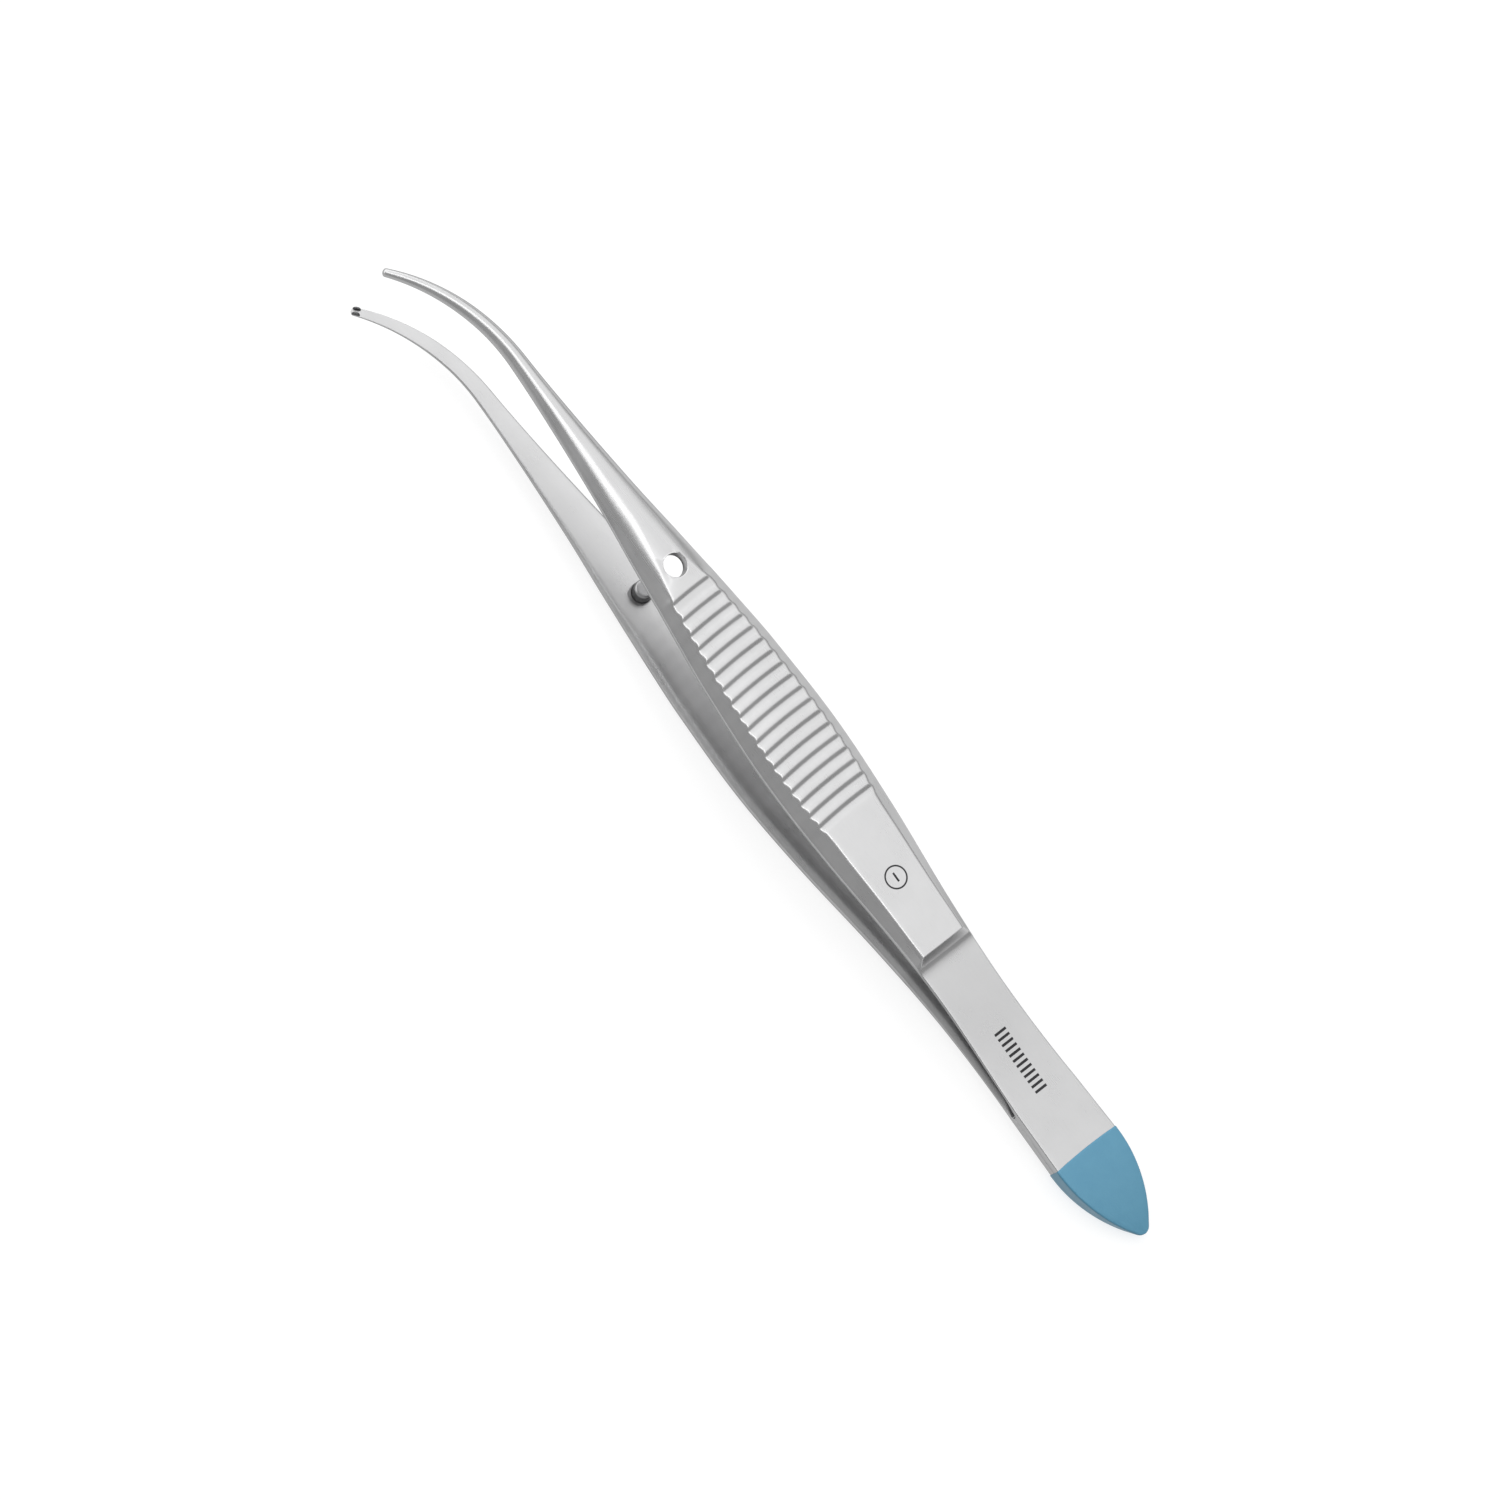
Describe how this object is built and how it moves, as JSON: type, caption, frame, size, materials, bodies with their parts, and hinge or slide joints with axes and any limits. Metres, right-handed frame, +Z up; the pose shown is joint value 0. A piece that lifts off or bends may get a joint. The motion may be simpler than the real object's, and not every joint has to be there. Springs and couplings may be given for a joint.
{
  "type": "curved toothed tweezers",
  "caption": "Slim sprung steel tweezers with a ribbed grip, a guide pin and hole, a colour-coated rear end and fine tips that curve to one side.",
  "frame": {"origin": "under the middle of the bounding box, on the surface that the lower arm's grip lies on", "axes": "+X along the lower arm towards the tips, +Y the side the tips curve to, +Z up, the way the arms spring apart"},
  "size_m": [0.1, 0.009, 0.0147],
  "materials": {
    "satin_steel": "satin, glass-bead blasted stainless steel",
    "pin_steel": "turned stainless steel, darker",
    "weld_metal": "fused seam, ground flush",
    "blue_coat": "thick satin blue colour coat"
  },
  "bodies": {
    "rear_end": {"upper_rear_tab": "satin_steel", "lower_rear_tab": "satin_steel", "rear_weld": "weld_metal", "blue_end_coat": "blue_coat", "upper_spring_leaf": "satin_steel", "lower_spring_leaf": "satin_steel"},
    "upper_arm": {"upper_grip": "satin_steel", "upper_blade": "satin_steel"},
    "lower_arm": {"lower_grip": "satin_steel", "lower_blade": "satin_steel", "guide_pin": "pin_steel"}
  },
  "joints": [
    {"name": "upper_arm_close", "type": "hinge", "parent": "rear_end", "child": "upper_arm", "pos_m": [-0.03009, -0.00039, 0.00348], "axis": [0, 1, 0], "range_deg": [0, 3.95], "stiffness_Nm_per_rad": 1.1, "deforming": ["upper_spring_leaf"]},
    {"name": "lower_arm_close", "type": "hinge", "parent": "rear_end", "child": "lower_arm", "pos_m": [-0.02994, -0.00039, 0.00149], "axis": [0, -1, 0], "range_deg": [0, 3.95], "stiffness_Nm_per_rad": 1.1, "deforming": ["lower_spring_leaf"]}
  ],
  "couplings": [
    {"joint": "lower_arm_close", "follows": "upper_arm_close", "ratio": 1}
  ]
}
